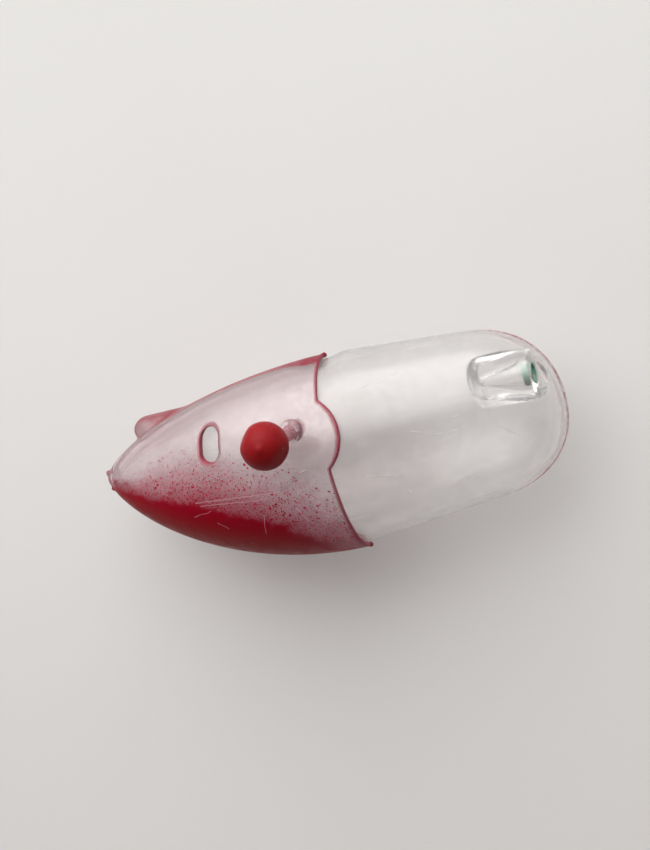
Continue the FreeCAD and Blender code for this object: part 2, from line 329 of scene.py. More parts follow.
def ball_field(x, y, z):
    dx, dy, dz = x - BALL_CENTRE[0], y - BALL_CENTRE[1], z - BALL_CENTRE[2]
    solid = np.sqrt(dx**2 + dy**2 + dz**2) - BALL_R
    for way, share in FLATS:
        way = Vector(way).normalized()
        solid = cross(solid, dx * way.x + dy * way.y + dz * way.z - share * BALL_R, FILLET)
    up = dx * NUB_AXIS.x + dy * NUB_AXIS.y + dz * NUB_AXIS.z
    beside = np.sqrt(np.maximum(dx**2 + dy**2 + dz**2 - up**2, 0))
    nub = np.hypot(beside, up - BALL_R + NUB_SINK) - NUB_R
    solid = np.where(up > 0, join(solid, nub, FILLET), solid)
    height, away = along_plug(x, y, z)
    bore = np.maximum(away - STEM_R, height - STEM_TOP)
    return cut(solid, bore, BALL_BORE_ROUND)


def stem_field(x, y, z):
    height, away = along_plug(x, y, z)
    middle, half = (STEM_TOP - STEM_INSIDE) / 2, (STEM_TOP + STEM_INSIDE) / 2
    return cross(away - STEM_R, np.abs(height - middle) - half, STEM_END_ROUND)


def crust(x, y, z):
    """Lumpy surface of corrosion, in millimetres."""
    lumps = np.sin(3.1 * x + 1.3) * np.sin(4.3 * y + 0.4) * np.sin(3.7 * z + 2.0)
    grains = np.sin(9.7 * x + 2.2 * y) * np.sin(8.9 * y - 3.1 * z + 1.0) * np.sin(11.3 * z + 4.0 * x)
    return 0.05 * lumps + 0.035 * grains


# the ferrule is this much thinner and shorter than in the CAD, and its crust fades to its outside
FERRULE_PLAY, FERRULE_END_PLAY, CRUST_FADE = 0.02, 0.03, 0.3


def ferrule_field(x, y, z):
    away = np.hypot(y - SOCKET_Y, z - SOCKET_Z)
    wall = np.abs(away - (FERRULE_R + FERRULE_BORE_R) / 2) - (FERRULE_R - FERRULE_BORE_R) / 2
    ends = np.abs(x - (SOCKET_MOUTH_X - FERRULE_LENGTH / 2)) - FERRULE_LENGTH / 2
    ring = cross(wall + FERRULE_PLAY, ends + FERRULE_END_PLAY, FERRULE_ROUND)
    return ring - crust(x, y, z) * np.clip((FERRULE_R - away) / CRUST_FADE, 0, 1)


# ---- meshing ------------------------------------------------------------------------------

SLOPE_REACH = 0.01
SETTLE_ROUNDS, RELAX_ROUNDS, RELAX_SHARE = 3, 4, 0.5


def slope_of(field, p):
    """Gradient of a field at points p."""
    parts = []
    for move in np.eye(3) * SLOPE_REACH:
        parts.append((field(*(p + move).T) - field(*(p - move).T)) / (2 * SLOPE_REACH))
    return np.stack(parts, 1)


def settle(field, p, limit):
    """Moves points p on to the field's zero surface."""
    for _ in range(SETTLE_ROUNDS):
        slope = slope_of(field, p)
        move = -field(*p.T)[:, None] * slope / ((slope**2).sum(1)[:, None] + 1e-3)
        length = np.linalg.norm(move, axis=1)[:, None]
        p = p + move * np.minimum(1, limit / (length + 1e-9))
    return p


def add(name, data):
    made = bpy.data.objects.new(name, data)
    bpy.context.scene.collection.objects.link(made)
    return made


def surface(name, field, low, high, step):
    """Closed mesh of a field's zero surface: one vertex in each grid cell that it crosses."""
    axes = [np.arange(a, b + step, step) for a, b in zip(low, high)]
    values = field(axes[0][:, None, None], axes[1][None, :, None], axes[2][None, None, :])
    values = np.ascontiguousarray(np.broadcast_to(values, [len(a) for a in axes]))
    inside = values < 0
    cells = tuple(n - 1 for n in values.shape)
    total, count = np.zeros(cells + (3,), np.float32), np.zeros(cells, np.int16)
    crossings = []
    for axis in range(3):
        first = [slice(None)] * 3
        second = [slice(None)] * 3
        first[axis], second[axis] = slice(None, -1), slice(1, None)
        hit = np.argwhere(inside[tuple(first)] != inside[tuple(second)])
        step_on = np.eye(3, dtype=int)[axis]
        v0, v1 = values[tuple(hit.T)], values[tuple((hit + step_on).T)]
        point = np.array([a[0] for a in axes]) + step * hit
        point[:, axis] += step * v0 / (v0 - v1)
        u, v = np.eye(3, dtype=int)[(axis + 1) % 3], np.eye(3, dtype=int)[(axis + 2) % 3]
        ring = [hit - u - v, hit - v, hit, hit - u]
        crossings.append((ring, v0 < 0))
        for cell in ring:
            np.add.at(total, tuple(cell.T), point)
            np.add.at(count, tuple(cell.T), 1)
    used = count > 0
    number = np.full(cells, -1, np.int64)
    number[used] = np.arange(used.sum())
    p = (total[used] / count[used][:, None]).astype(float)
    faces = []
    for ring, outward in crossings:
        quad = np.stack([number[tuple(cell.T)] for cell in ring], 1)
        faces.append(np.where(outward[:, None], quad, quad[:, ::-1]))
    faces = np.concatenate(faces)
    p = settle(field, p, step)
    for _ in range(RELAX_ROUNDS):
        mean, seen = np.zeros_like(p), np.zeros(len(p))
        for k in range(4):
            a, b = faces[:, k], faces[:, (k + 1) % 4]
            for i, j in ((a, b), (b, a)):
                np.add.at(mean, i, p[j])
                np.add.at(seen, i, 1)
        p = settle(field, p + RELAX_SHARE * (mean / seen[:, None] - p), step)
    mesh = bpy.data.meshes.new(name)
    mesh.from_pydata(place(p).tolist(), [], faces.tolist())
    mesh.validate()
    mesh.polygons.foreach_set("use_smooth", [True] * len(mesh.polygons))
    normals = slope_of(field, p)
    normals /= np.linalg.norm(normals, axis=1)[:, None] + 1e-9
    if len(mesh.vertices) == len(normals):
        mesh.normals_split_custom_set_from_vertices(normals.tolist())
    return add(name, mesh), p


def attribute(obj, name, values):
    data = obj.data.attributes.new(name, "FLOAT", "POINT")
    data.data.foreach_set("value", np.asarray(values, np.float32))


# ---- materials -------------------------------------------------------------------------------

PLASTIC_IOR = 1.47

# colours in linear light
CLEAR_LIGHT, CLEAR_DARK = (0.985, 0.98, 0.98, 1), (0.97, 0.965, 0.965, 1)
CLEAR_SHADOW, CLEAR_MILK = (0.93, 0.925, 0.925, 1), (0.90, 0.88, 0.88, 1)
DUST = (0.05, 0.035, 0.03, 1)
SPRAY_THIN, SPRAY_THICK = (0.34, 0.002, 0.024, 1), (0.33, 0.0015, 0.004, 1)
SPRAY_CLOUD, SPRAY_BRIM = (0.21, 0.001, 0.006, 1), (0.20, 0.006, 0.022, 1)
SPRAY_WORN = (0.60, 0.30, 0.35, 1)
CAP_LIGHT, CAP_DARK = (0.985, 0.955, 0.96, 1), (0.98, 0.935, 0.945, 1)
CAP_MISTED = (0.86, 0.38, 0.54, 1)
CAP_SHADOW, CAP_MILK = (0.95, 0.91, 0.92, 1), (0.69, 0.56, 0.59, 1)
CAP_EDGE_DARK, CAP_EDGE_LIGHT = (0.20, 0.006, 0.02, 1), (0.36, 0.05, 0.09, 1)
CAP_DEPTH, CAP_DENSITY = (0.88, 0.0, 0.15, 1), 30.0
BALL_DARK, BALL_LIGHT = (0.22, 0.005, 0.008, 1), (0.28, 0.009, 0.012, 1)
BALL_WORN = (0.7, 0.3, 0.3, 1)
PINK_LIGHT, PINK_DARK = (0.95, 0.72, 0.76, 1), (0.93, 0.62, 0.67, 1)
PINK_SHADOW, PINK_MILK = (0.9, 0.65, 0.68, 1), (0.50, 0.20, 0.25, 1)
GREEN_DARK, GREEN_LIGHT = (0.10, 0.30, 0.24, 1), (0.35, 0.58, 0.48, 1)
BRASS_DARK, BRASS_LIGHT = (0.30, 0.21, 0.09, 1), (0.44, 0.33, 0.15, 1)
WELD_CLEAR, WELD_STAINED = (0.93, 0.91, 0.91, 1), (0.50, 0.10, 0.14, 1)
WELD_SHADOW = (0.9, 0.8, 0.82, 1)
# the table's colour where it is lit, and where it lies in painted shade
FLOOR_LIGHT, FLOOR_PAINTED_SHADE = (0.81, 0.803, 0.795, 1), (0.60, 0.578, 0.57, 1)


def add_node(tree, kind, out=0, **values):
    """Makes a node and gives one of its outputs.

    Each value is a property of the node, or goes to the input with its name or its number (_0).
    """
    made = tree.nodes.new(kind)
    inputs = {}
    for key, value in values.items():
        if hasattr(made, key) and not key[0].isupper():
            setattr(made, key, value)
        else:
            inputs[key] = value
    for key, value in inputs.items():
        socket = made.inputs[int(key[1:])] if key[0] == "_" else made.inputs[key.replace("_", " ")]
        if isinstance(value, bpy.types.NodeSocket):
            tree.links.new(value, socket)
        else:
            socket.default_value = value
    return made.outputs[out]


class Shader:
    """A material's node tree, built with short calls."""

    def __init__(self, name):
        self.material = bpy.data.materials.new(name)
        self.material.use_nodes = True
        self.tree = self.material.node_tree
        self.tree.nodes.clear()
        self.output = self.tree.nodes.new("ShaderNodeOutputMaterial")
        where = self.tree.nodes.new("ShaderNodeTexCoord").outputs["Object"]
        grown = self.node("ShaderNodeVectorMath", 0, operation="SCALE", Vector=where, Scale=1 / MM)
        self.mm = self.node("ShaderNodeVectorMath", 0, operation="SUBTRACT", _0=grown, _1=tuple(SHIFT))

    def node(self, kind, out=0, **values):
        return add_node(self.tree, kind, out, **values)

    def math(self, operation, a, b=0.0, clamp=False):
        return self.node("ShaderNodeMath", operation=operation, _0=a, _1=b, use_clamp=clamp)

    def noise(self, scale, detail=3.0, roughness=0.5, where=None, distortion=0.0):
        return self.node("ShaderNodeTexNoise", Vector=where or self.mm, Scale=scale, Detail=detail,
                         Roughness=roughness, Distortion=distortion)

    def ramp(self, value, low, high, to_low=0.0, to_high=1.0, smooth=True):
        return self.node("ShaderNodeMapRange", Value=value, _1=low, _2=high, _3=to_low, _4=to_high,
                         interpolation_type="SMOOTHSTEP" if smooth else "LINEAR")

    def colour(self, fac, a, b):
        return self.node("ShaderNodeMix", 2, data_type="RGBA", _0=fac, _6=a, _7=b)

    def mix(self, fac, a, b):
        return self.node("ShaderNodeMixShader", _0=fac, _1=a, _2=b)

    def attribute(self, name):
        return self.node("ShaderNodeAttribute", 2, attribute_name=name)

    def dots(self, scale, radius, share, seed=0.0):
        """Round specks, one in share of the cells of a random lattice."""
        where = self.node("ShaderNodeVectorMath", operation="ADD", _0=self.mm, _1=(seed, seed, seed))
        cell = self.tree.nodes.new("ShaderNodeTexVoronoi")
        self.tree.links.new(where, cell.inputs["Vector"])
        cell.inputs["Scale"].default_value = scale
        chance = self.node("ShaderNodeSeparateColor", 0, Color=cell.outputs["Color"])
        size = self.node("ShaderNodeSeparateColor", 1, Color=cell.outputs["Color"])
        reach = self.math("MULTIPLY", self.ramp(size, 0, 1, 0.35, 1.0, False), radius * scale)
        near = self.math("LESS_THAN", cell.outputs["Distance"], reach)
        return self.math("MULTIPLY", near, self.math("LESS_THAN", chance, share))

    def scratches(self, scale, width, turn, seed=0.0):
        """Hair scratches: thin contour lines of a stretched noise, broken up by a second one."""
        where = self.node("ShaderNodeMapping", Vector=self.mm, Location=(seed, 0, 0),
                          Rotation=(0, 0, turn), Scale=(0.12, 1.0, 0.6))
        line = self.math("ABSOLUTE", self.math("SUBTRACT", self.noise(scale, 1.0, 0.3, where), 0.5))
        thin = self.ramp(line, width, width * 0.3)
        patch = self.ramp(self.noise(scale * 0.6, 2.0, 0.5), 0.56, 0.62)
        return self.math("MULTIPLY", thin, patch)

    def stroke(self, start, end, width):
        """1 on a hair scratch between two places on the flank, given by x and y."""
        run = Vector((*end, 0)) - Vector((*start, 0))
        way = run.normalized()
        shake = self.node("ShaderNodeVectorMath", operation="SCALE", Scale=0.5,
                          _0=self.node("ShaderNodeTexNoise", 1, Vector=self.mm, Scale=0.9, Detail=2.0))
        shaken = self.node("ShaderNodeVectorMath", operation="ADD", _0=self.mm, _1=shake)
        gone = self.node("ShaderNodeVectorMath", operation="SUBTRACT", _0=shaken, _1=(*start, 0))
        flat = self.node("ShaderNodeVectorMath", operation="MULTIPLY", _0=gone, _1=(1, 1, 0))
        share = self.node("ShaderNodeVectorMath", 1, operation="DOT_PRODUCT", _0=flat, _1=tuple(way))
        share = self.ramp(share, 0, run.length, 0, run.length, False)
        foot = self.node("ShaderNodeVectorMath", operation="SCALE", _0=tuple(way), Scale=share)
        away = self.node("ShaderNodeVectorMath", 1, operation="DISTANCE", _0=flat, _1=foot)
        return self.ramp(away, width, width * 0.4)

    def marks(self, hairs, share, strokes):
        """Hair scratches at a share of their strength, together with single strokes."""
        marks = self.math("MULTIPLY", hairs, share)
        for start, end, width in strokes:
            marks = self.math("MAXIMUM", marks, self.stroke(start, end, width))
        return marks

    def bump(self, height, strength, distance):
        return self.node("ShaderNodeBump", Height=height, Strength=strength, Distance=distance)

    def finish(self, shader, volume=None):
        self.tree.links.new(shader, self.output.inputs["Surface"])
        if volume is not None:
            self.tree.links.new(volume, self.output.inputs["Volume"])
        return self.material

    def milk(self, colour):
        """Scattering in worn plastic, seen from both sides of a wall."""
        front = self.node("ShaderNodeBsdfDiffuse", Color=colour)
        through = self.node("ShaderNodeBsdfTranslucent", Color=colour)
        return self.mix(0.5, front, through)

    def let_light_through(self, shader, tint):
        """Shadows of a clear piece are as light as a thin wall's, and not black."""
        path = self.tree.nodes.new("ShaderNodeLightPath")
        straight = self.math("MAXIMUM", path.outputs["Is Shadow Ray"], path.outputs["Is Diffuse Ray"])
        return self.mix(straight, shader, self.node("ShaderNodeBsdfTransparent", Color=tint))


# scratches on the flank with the plug, as start, end and half width
SHELL_SCRATCHES = (
    ((5.5, -4.0), (11.0, -5.2), 0.08),
    ((15.0, 1.5), (18.5, 0.2), 0.07),
    ((20.0, -8.5), (25.5, -7.4), 0.08),
    ((8.0, 10.5), (14.0, 11.1), 0.07),
    ((29.5, -1.0), (31.5, -3.2), 0.08),
)
CAP_SCRATCHES = (
    ((-25.2, -2.0), (-9.6, -3.3), 0.13),
    ((-24.4, -2.7), (-13.0, -3.9), 0.09),
    ((-26.4, -4.3), (-22.9, -4.0), 0.08),
    ((-22.6, -6.2), (-20.9, -7.6), 0.09),
    ((-13.6, -6.6), (-14.7, -9.8), 0.09),
    ((-7.6, -6.6), (-6.3, -9.2), 0.11),
)


def clear_plastic():
    s = Shader("clear_plastic")
    haze = s.noise(0.16, 5.0, 0.6, distortion=0.6)
    fine = s.noise(2.2, 3.0, 0.6)
    marks = s.marks(s.scratches(0.5, 0.006, 0.3), 0.2, SHELL_SCRATCHES)
    rough = s.math("ADD", s.ramp(haze, 0.35, 0.75, 0.15, 0.27), s.math("MULTIPLY", marks, 0.25))
    height = s.math("ADD", s.noise(0.09, 2.0, 0.4), s.math("MULTIPLY", fine, 0.012))
    height = s.math("SUBTRACT", height, s.math("MULTIPLY", marks, 0.03))
    glass = s.node(
        "ShaderNodeBsdfPrincipled",
        Base_Color=s.colour(haze, CLEAR_LIGHT, CLEAR_DARK),
        Roughness=rough,
        Normal=s.bump(height, 0.2, 0.0004),
        IOR=PLASTIC_IOR,
        Transmission_Weight=1.0,
    )
    clear = s.let_light_through(glass, CLEAR_SHADOW)
    worn = s.math("ADD", s.ramp(haze, 0.3, 0.7, 0.07, 0.16), s.math("MULTIPLY", marks, 0.25))
    clear = s.mix(s.math("MULTIPLY", worn, s.attribute("outside")), clear, s.milk(CLEAR_MILK))
    dust = s.math("MAXIMUM", s.dots(0.55, 0.10, 0.05), s.dots(1.1, 0.06, 0.05, 9.0))
    speck = s.node("ShaderNodeBsdfDiffuse", Color=DUST)
    return s.finish(s.mix(s.math("MULTIPLY", dust, 0.75), clear, speck))


def sprayed_plastic():
    s = Shader("sprayed_clear_plastic")
    depth, skin = s.attribute("paint"), s.attribute("outside")
    uneven = s.math("MULTIPLY", s.math("SUBTRACT", s.noise(0.35, 4.0, 0.65), 0.5), 0.45)
    reach = s.math("ADD", depth, uneven)
    solid = s.ramp(reach, 0.66, 1.05)
    density = s.ramp(reach, -0.25, 0.95, smooth=False)
    specks = s.math("MAXIMUM", s.dots(1.7, 0.24, s.math("MULTIPLY", density, 0.30)),
                    s.dots(2.7, 0.18, s.math("MULTIPLY", density, 0.55), 5.0))
    specks = s.math("MAXIMUM", specks, s.dots(4.2, 0.12, s.math("MULTIPLY", density, 0.75), 11.0))
    veil = s.math("MULTIPLY", s.math("POWER", s.math("MAXIMUM", density, 0.0), 1.6), 0.74)
    cover = s.math("MAXIMUM", solid, s.math("MAXIMUM", specks, veil))
    marks = s.marks(s.scratches(0.42, 0.009, 0.16, 3.0), 0.12, CAP_SCRATCHES)
    broken = s.ramp(s.noise(0.6, 4.0, 0.6), 0.2, 0.6, 0.62, 0.95)
    brim = s.math("MULTIPLY", s.attribute("brim"), broken)
    cover = s.math("MAXIMUM", cover, brim)
    cover = s.math("MULTIPLY", cover, skin, True)
    red = s.colour(s.ramp(reach, 0.6, 1.7), SPRAY_THIN, SPRAY_THICK)
    red = s.colour(s.math("MULTIPLY", s.noise(0.5, 3.0, 0.5), 0.5), red, SPRAY_CLOUD)
    red = s.colour(brim, red, SPRAY_BRIM)
    red = s.colour(s.math("MULTIPLY", marks, 0.5), red, SPRAY_WORN)
    ripple = s.math("MULTIPLY", s.noise(1.6, 2.0, 0.5), 0.06)
    height = s.math("ADD", s.math("MULTIPLY", solid, 0.05), ripple)
    height = s.math("SUBTRACT", height, s.math("MULTIPLY", marks, 0.10))
    rough = s.ramp(s.noise(0.5, 4.0, 0.6), 0.3, 0.7, 0.32, 0.46)
    paint = s.node(
        "ShaderNodeBsdfPrincipled",
        Base_Color=red,
        Roughness=s.math("ADD", rough, s.math("MULTIPLY", marks, 0.3)),
        Normal=s.bump(height, 0.3, 0.0003),
        Specular_IOR_Level=0.08,
    )
    haze = s.noise(0.2, 4.0, 0.6)
    tint = s.colour(haze, CAP_LIGHT, CAP_DARK)
    tint = s.colour(s.math("MULTIPLY", s.ramp(density, 0.0, 1.0), skin), tint, CAP_MISTED)
    glass = s.node(
        "ShaderNodeBsdfPrincipled",
        Base_Color=tint,
        Roughness=s.ramp(haze, 0.35, 0.75, 0.12, 0.24),
        Normal=s.bump(ripple, 0.2, 0.0003),
        IOR=PLASTIC_IOR,
        Transmission_Weight=1.0,
    )
    clear = s.let_light_through(glass, CAP_SHADOW)
    worn = s.math("MULTIPLY", s.ramp(haze, 0.3, 0.7, 0.22, 0.34), skin)
    clear = s.mix(worn, clear, s.milk(CAP_MILK))
    edge_paint = s.node(
        "ShaderNodeBsdfPrincipled",
        Base_Color=s.colour(s.noise(1.4, 3.0, 0.6), CAP_EDGE_DARK, CAP_EDGE_LIGHT),
        Roughness=0.35,
        Specular_IOR_Level=0.3,
    )
    broken = s.ramp(s.noise(0.9, 3.0, 0.6), 0.25, 0.5, 0.72, 0.95)
    clear = s.mix(s.math("MULTIPLY", s.attribute("edge"), broken), clear, edge_paint)
    inside = s.node("ShaderNodeVolumeAbsorption", Color=CAP_DEPTH, Density=CAP_DENSITY)
    return s.finish(s.mix(cover, clear, paint), inside)


def red_plastic():
    s = Shader("red_plastic")
    cloud = s.noise(0.35, 3.0, 0.55)
    wear = s.math("MULTIPLY", s.scratches(0.9, 0.01, 0.7, 4.0), 0.35)
    red = s.colour(wear, s.colour(cloud, BALL_DARK, BALL_LIGHT), BALL_WORN)
    swell = s.math("MULTIPLY", s.noise(1.1, 3.0, 0.5), 0.5)
    height = s.math("ADD", swell, s.math("MULTIPLY", s.noise(6.0, 2.0, 0.6), 0.06))
    body = s.node(
        "ShaderNodeBsdfPrincipled",
        Base_Color=red,
        Roughness=s.ramp(s.noise(1.6, 4.0, 0.6), 0.3, 0.7, 0.38, 0.55),
        Specular_IOR_Level=0.12,
        Normal=s.bump(height, 0.25, 0.0004),
        Subsurface_Weight=0.15,
        Subsurface_Radius=(0.003, 0.0006, 0.0004),
        Subsurface_Scale=1.0,
    )
    return s.finish(body)


def pink_plastic():
    s = Shader("pink_plastic")
    cloud = s.noise(0.8, 3.0, 0.5)
    glass = s.node(
        "ShaderNodeBsdfPrincipled",
        Base_Color=s.colour(cloud, PINK_LIGHT, PINK_DARK),
        Roughness=s.ramp(s.noise(1.3, 3.0, 0.5), 0.3, 0.7, 0.12, 0.3),
        Normal=s.bump(s.noise(1.5, 2.0, 0.5), 0.2, 0.0003),
        IOR=PLASTIC_IOR,
        Transmission_Weight=0.7,
    )
    clear = s.let_light_through(glass, PINK_SHADOW)
    return s.finish(s.mix(0.5, clear, s.milk(PINK_MILK)))


# X over which the weld's flash takes on its stain
STAIN_X = 22, 33


def stained_plastic():
    s = Shader("stained_plastic")
    along = s.node("ShaderNodeSeparateXYZ", 0, Vector=s.mm)
    patches = s.ramp(s.noise(0.35, 4.0, 0.6), 0.3, 0.55, 0.45, 1.0)
    stain = s.math("MULTIPLY", s.ramp(along, *STAIN_X), patches)
    body = s.node(
        "ShaderNodeBsdfPrincipled",
        Base_Color=s.colour(stain, WELD_CLEAR, WELD_STAINED),
        Roughness=s.ramp(s.noise(1.5, 3.0, 0.5), 0.3, 0.7, 0.15, 0.35),
        Normal=s.bump(s.noise(2.5, 2.0, 0.5), 0.2, 0.0002),
        IOR=PLASTIC_IOR,
        Transmission_Weight=0.7,
    )
    return s.finish(s.let_light_through(body, WELD_SHADOW))


def tarnished_brass():
    s = Shader("tarnished_brass")
    patch = s.ramp(s.noise(1.4, 5.0, 0.65, distortion=0.5), 0.30, 0.52)
    crumbs = s.noise(4.5, 5.0, 0.7)
    green = s.colour(crumbs, GREEN_DARK, GREEN_LIGHT)
    metal = s.colour(crumbs, BRASS_DARK, BRASS_LIGHT)
    height = s.math("ADD", s.math("MULTIPLY", crumbs, 0.6), s.math("MULTIPLY", patch, 0.4))
    body = s.node(
        "ShaderNodeBsdfPrincipled",
        Base_Color=s.colour(patch, metal, green),
        Metallic=s.math("SUBTRACT", 1.0, patch),
        Roughness=s.ramp(patch, 0, 1, 0.38, 0.85),
        Normal=s.bump(height, 0.6, 0.0002),
    )
    return s.finish(body)


# Y at which the table's colour is lightest and darkest: painted shade that darkens the table towards the
# belly's side
FLOOR_LIGHT_Y, FLOOR_PAINTED_SHADE_Y = 110, -130


def table_top():
    s = Shader("table_top")
    # painted shade: the table's colour darkens from the back towards the belly's side, its edge wobbled
    # by a wide noise
    across = s.node("ShaderNodeSeparateXYZ", 1, Vector=s.mm)
    cloud = s.math("MULTIPLY", s.math("SUBTRACT", s.noise(0.008, 3.0, 0.5), 0.5), 60.0)
    painted_shade = s.ramp(s.math("ADD", across, cloud), FLOOR_LIGHT_Y, FLOOR_PAINTED_SHADE_Y)
    body = s.node(
        "ShaderNodeBsdfPrincipled",
        Base_Color=s.colour(painted_shade, FLOOR_LIGHT, FLOOR_PAINTED_SHADE),
        Roughness=s.ramp(s.noise(0.05, 3.0, 0.5), 0.3, 0.7, 0.78, 0.9),
        Specular_IOR_Level=0.0,
        Normal=s.bump(s.noise(0.6, 3.0, 0.6), 0.05, 0.0005),
    )
    return s.finish(body)


# ---- pieces ----------------------------------------------------------------------------------

# mesh cell of each piece, and the boxes in which the two large ones are meshed
CAP_STEP, SHELL_STEP = ((0.32, 0.42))
FERRULE_STEP, BALL_STEP, STEM_STEP = 0.08, 0.14, 0.16
CAP_BOX = (-44, -18, -15.5), (4.2, 18.5, 17.5)
SHELL_BOX = (-42.5, -17.5, -15), (40.5, 18, 15)
FERRULE_REACH, BALL_REACH, STEM_REACH, STEM_MIDDLE = 2.4, 4.6, 9.5, 4

# how deep in the surface a piece still counts as its outside
CAP_SKIN, SHELL_SKIN = 0.25, 0.4


def show(obj, body, slot, material, *nodes):
    obj.data.materials.append(material)
    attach(obj, body)
    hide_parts(*nodes)


# x and y on the flank up to which the spray is solid, and up to which its mist reaches
SOLID_LINE = (
    (-42.6, 3.6), (-35.2, 0.1), (-25.9, -3.1), (-17.2, -6.7), (-12.0, -9.3), (-7.5, -12.9), (-3.5, -17.0)
)
MIST_LINE = (
    (-42.6, 4.9), (-35.5, 4.6), (-29.5, 5.8), (-20.0, 4.9), (-14.5, 1.1), (-6.5, -1.1), (0.0, -7.5)
)
# x against the width of the overspray along the cap's edge on the back, and against its strength
BRIM_WIDTH = (-42.6, -34, -28, -6, -2.5), (1.3, 1.2, 3.2, 3.8, 5.4)
BRIM_STRENGTH = (-42.6, -34, -10, -4), (0.45, 0.55, 0.62, 1.0)
BRIM_FADE, BRIM_LOWEST_Y = 0.9, 5
# the paint's depth is kept within this many times the mist's height
PAINT_LIMIT = 3
# width of the painted edge along the rim, from its straight part to the lobe, and round the slot
RIM_EDGE_X, RIM_EDGE_WIDTH, RIM_EDGE_INSET = (0.2, 2.0), (0.35, 0.8), 0.2
SLOT_EDGE_WIDTH, SLOT_EDGE_FADE = 0.4, 1.5
EDGE_GAIN = 1.6


def paint_depth(p):
    """0 at the mist's upper edge and 1 where the spray closes up."""
    x, y = p[:, 0], p[:, 1]
    solid, mist = (np.interp(x, *zip(*line)) for line in (SOLID_LINE, MIST_LINE))
    return np.clip((mist - y) / (mist - solid), -PAINT_LIMIT, PAINT_LIMIT)


def brim_share(p):
    """Overspray that has caught the cap's edge on the back, fading down the flank."""
    x, y, z = p.T
    band = np.clip((np.interp(x, *BRIM_WIDTH) - z) / BRIM_FADE, 0, 1)
    return band * (y > BRIM_LOWEST_Y) * np.interp(x, *BRIM_STRENGTH)


def edge_share(p, depth):
    """1 on the cap's narrow edge faces, along its rim and on the slot's nose side, 0 on its skins."""
    x, z = p[:, 0], p[:, 2]
    through = depth / cap_wall(x)
    faces = np.clip(EDGE_GAIN - np.abs(2 * through - 1) ** 3 * EDGE_GAIN, 0, 1)
    width = np.interp(x, RIM_EDGE_X, RIM_EDGE_WIDTH)
    near_rim = np.clip(1 + (rim_field(*p.T) + RIM_EDGE_INSET) / width, 0, 1) * (z > 0)
    near_slot = np.clip(1.5 - slot_field(*p.T) / SLOT_EDGE_WIDTH, 0, 1) * (z > 0)
    near_slot = near_slot * np.clip(0.5 + (SLOT_X - x) / SLOT_EDGE_FADE, 0, 1)
    return np.max((faces, near_rim, near_slot), axis=0)


# the flash: where it starts, how far it stands out, its half thickness and the length of its fade-in
FLASH_START, FLASH_HEIGHT, FLASH_THICK, FLASH_FADE = 24.0, 0.09, 0.08, 6
FLASH_SAMPLES, FLASH_SIDES = 220, 10


def make_flash():
    """Thin flash that stands out of the weld round the tail."""
    skin = SHELL_OUTSIDE
    x = FLASH_START + (skin.end - FLASH_START) * np.sin(np.linspace(0, math.pi / 2, FLASH_SAMPLES))
    x = np.concatenate((x, x[-2::-1]))
    side = np.where(np.arange(len(x)) < len(x) // 2, 1, -1)
    y = np.interp(x, skin.x, skin.middle) + side * np.interp(x, skin.x, skin.half)
    line = np.stack((x, y, 0 * x), 1)
    line = line[np.concatenate(([True], np.linalg.norm(np.diff(line, axis=0), axis=1) > 1e-3))]
    along = np.gradient(line, axis=0)
    along /= np.linalg.norm(along, axis=1)[:, None]
    out = np.stack((along[:, 1], -along[:, 0], 0 * along[:, 0]), 1)
    out *= np.sign((out * (line - (0, AXIS_Y, 0))).sum(1))[:, None]
    share = np.clip((line[:, 0] - FLASH_START) / FLASH_FADE, 0.02, 1)
    wave = 1 + 0.25 * np.sin(line[:, 1] * 1.7) * np.sin(line[:, 0] * 2.3 + 0.6)
    rings = []
    for t in np.linspace(0, 2 * math.pi, FLASH_SIDES + 1)[:-1]:
        lift = (FLASH_HEIGHT * (0.35 + math.cos(t)) * share * wave)[:, None]
        aside = np.array((0, 0, 1)) * FLASH_THICK * math.sin(t) * share[:, None]
        rings.append(line + out * lift + aside)
    points = np.stack(rings, 1)
    count, ring = points.shape[:2]
    index = np.arange(count * ring).reshape(count, ring)
    faces = []
    for i in range(count - 1):
        for j in range(ring):
            k = (j + 1) % ring
            faces.append((index[i, j], index[i, k], index[i + 1, k], index[i + 1, j]))
    faces += [tuple(index[0, ::-1]), tuple(index[-1])]
    mesh = bpy.data.meshes.new("weld_flash")
    mesh.from_pydata(place(points.reshape(-1, 3)).tolist(), [], [tuple(map(int, f)) for f in faces])
    mesh.polygons.foreach_set("use_smooth", [True] * len(mesh.polygons))
    return add("weld_flash", mesh)


def piece_round(name, field, middle, reach, step):
    """Mesh of a small piece that lies within reach of its middle."""
    made, _ = surface(name, field, middle - reach, middle + reach, step)
    return made


